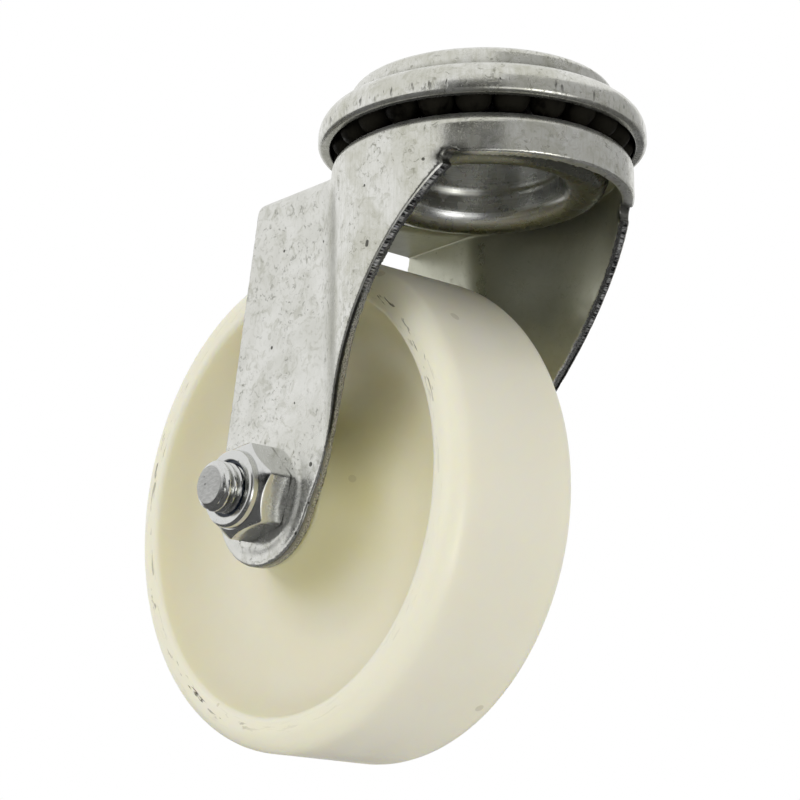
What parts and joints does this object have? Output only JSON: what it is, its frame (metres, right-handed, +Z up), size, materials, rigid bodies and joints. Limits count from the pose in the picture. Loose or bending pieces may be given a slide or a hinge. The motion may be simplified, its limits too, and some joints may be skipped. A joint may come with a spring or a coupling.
{
  "type": "swivel castor",
  "caption": "Swivel castor: a dished cream nylon wheel in a pressed steel fork that turns on loose balls under a round cup, fixed by one bolt through a hollow rivet.",
  "frame": {"origin": "centre of the top mounting face, on the swivel axis", "axes": "+Z up out of the mounting face, axle along Y, wheel trailing towards -X"},
  "size_m": [0.123, 0.0678, 0.1277],
  "materials": {
    "zinc_steel": "satin zinc plating, mottled and scratched",
    "bright_steel": "bright zinc plating",
    "ball_steel": "polished, with dark grease",
    "cream_nylon": "semi-gloss translucent moulding",
    "blue_nylon": "moulded ring"
  },
  "bodies": {
    "head": {"top_cup": "zinc_steel", "king_rivet": "bright_steel", "lower_cup": "bright_steel"},
    "fork": {"fork": "zinc_steel", "axle_tube": "bright_steel", "axle_bolt": "bright_steel", "lock_nut": "bright_steel", "nut_insert": "blue_nylon"},
    "wheel": {"wheel": "cream_nylon"},
    "upper_ball_row": {"upper_ball_01": "ball_steel", "upper_ball_02": "ball_steel", "upper_ball_03": "ball_steel", "upper_ball_04": "ball_steel", "upper_ball_05": "ball_steel", "upper_ball_06": "ball_steel", "upper_ball_07": "ball_steel", "upper_ball_08": "ball_steel", "upper_ball_09": "ball_steel", "upper_ball_10": "ball_steel", "upper_ball_11": "ball_steel", "upper_ball_12": "ball_steel", "upper_ball_13": "ball_steel", "upper_ball_14": "ball_steel", "upper_ball_15": "ball_steel", "upper_ball_16": "ball_steel", "upper_ball_17": "ball_steel", "upper_ball_18": "ball_steel", "upper_ball_19": "ball_steel", "upper_ball_20": "ball_steel", "upper_ball_21": "ball_steel", "upper_ball_22": "ball_steel", "upper_ball_23": "ball_steel"},
    "lower_ball_row": {"lower_ball_01": "ball_steel", "lower_ball_02": "ball_steel", "lower_ball_03": "ball_steel", "lower_ball_04": "ball_steel", "lower_ball_05": "ball_steel", "lower_ball_06": "ball_steel", "lower_ball_07": "ball_steel", "lower_ball_08": "ball_steel", "lower_ball_09": "ball_steel", "lower_ball_10": "ball_steel", "lower_ball_11": "ball_steel", "lower_ball_12": "ball_steel", "lower_ball_13": "ball_steel", "lower_ball_14": "ball_steel", "lower_ball_15": "ball_steel", "lower_ball_16": "ball_steel", "lower_ball_17": "ball_steel", "lower_ball_18": "ball_steel", "lower_ball_19": "ball_steel", "lower_ball_20": "ball_steel", "lower_ball_21": "ball_steel", "lower_ball_22": "ball_steel", "lower_ball_23": "ball_steel", "lower_ball_24": "ball_steel"}
  },
  "joints": [
    {"name": "swivel", "type": "hinge", "parent": "head", "child": "fork", "pos_m": [0, 0, 0], "axis": [0, 0, 1], "continuous": true},
    {"name": "wheel_spin", "type": "hinge", "parent": "fork", "child": "wheel", "pos_m": [-0.0405, 0, -0.0777], "axis": [0, 1, 0], "continuous": true},
    {"name": "upper_row_orbit", "type": "hinge", "parent": "head", "child": "upper_ball_row", "pos_m": [0, 0, 0], "axis": [0, 0, 1], "continuous": true},
    {"name": "lower_row_orbit", "type": "hinge", "parent": "head", "child": "lower_ball_row", "pos_m": [0, 0, 0], "axis": [0, 0, 1], "continuous": true}
  ],
  "couplings": [
    {"joint": "upper_row_orbit", "follows": "swivel", "ratio": 0.5},
    {"joint": "lower_row_orbit", "follows": "swivel", "ratio": 0.5}
  ]
}
